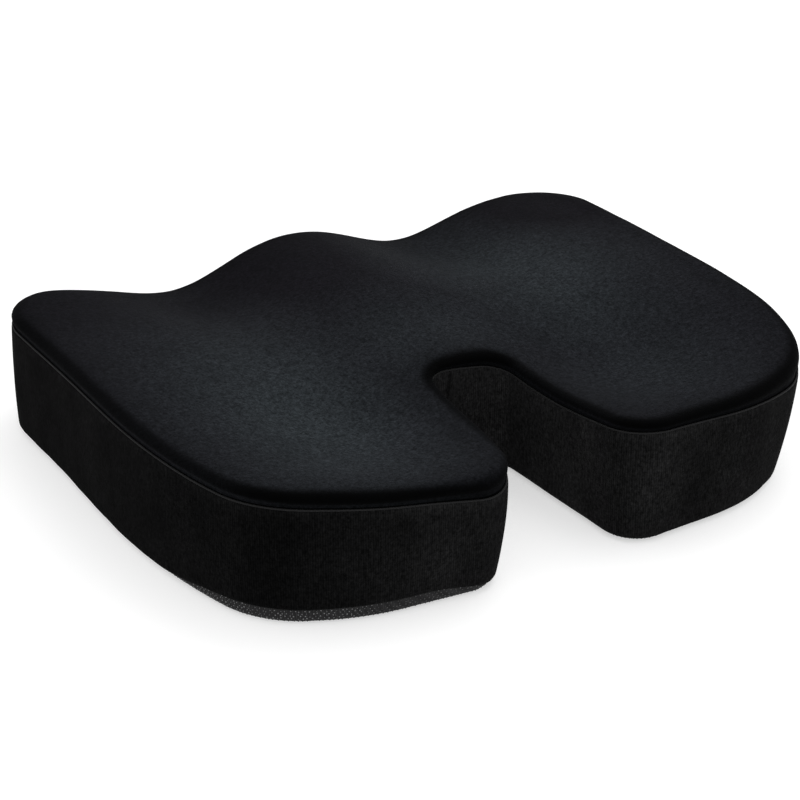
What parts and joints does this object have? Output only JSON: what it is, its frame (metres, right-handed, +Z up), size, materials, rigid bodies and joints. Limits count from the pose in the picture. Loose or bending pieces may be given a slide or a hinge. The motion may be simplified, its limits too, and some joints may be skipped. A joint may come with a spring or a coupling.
{
  "type": "seat cushion",
  "caption": "Contoured coccyx seat cushion: foam core in a zipped velour cover with thigh grooves, a tail-bone cut-out and a non-slip underside.",
  "frame": {"origin": "middle of the bounding box in plan, on the surface the cushion rests on", "axes": "+X to the sitter's right, +Y to the knees (the straight front wall), +Z up; the tail-bone cut-out opens towards -Y"},
  "size_m": [0.4504, 0.3788, 0.0915],
  "materials": {
    "foam": "open-cell memory foam, soft and matt",
    "velour": "short-pile black velour with a soft sheen",
    "velour_band": "black velour with a fine upright rib",
    "nonslip_fabric": "black knit with small grey non-slip dots",
    "seam_thread": "black polyester thread and piping",
    "zipper_tape": "woven polyester tape",
    "zipper_nylon": "black nylon coil",
    "zipper_metal": "black painted zinc alloy, edges rubbed",
    "label": "blank woven satin label"
  },
  "bodies": {
    "cushion": {"foam_core": "foam", "top_panel": "velour", "side_band_left": "velour_band", "side_band_right": "velour_band", "front_band_upper": "velour_band", "front_band_lower": "velour_band", "bottom_panel": "nonslip_fabric", "top_seam_welt": "seam_thread", "bottom_seam_thread": "seam_thread", "zipper_stitching": "seam_thread", "zipper_tape_upper": "zipper_tape", "zipper_tape_lower": "zipper_tape", "zipper_coil_upper": "zipper_nylon", "zipper_coil_lower": "zipper_nylon", "zipper_top_stops": "zipper_metal", "zipper_bottom_stop": "zipper_metal", "care_label": "label"},
    "slider": {"zipper_slider": "zipper_metal"},
    "pull": {"zipper_pull": "zipper_metal"}
  },
  "joints": [
    {"name": "zipper_slide", "type": "slide", "parent": "cushion", "child": "slider", "axis": [-1, 0, 0], "range_m": [0, 0.3]},
    {"name": "pull_hinge", "type": "hinge", "parent": "slider", "child": "pull", "pos_m": [0.15, 0.18735, 0.037], "axis": [0, 0, -1], "range_deg": [0, 180]}
  ]
}
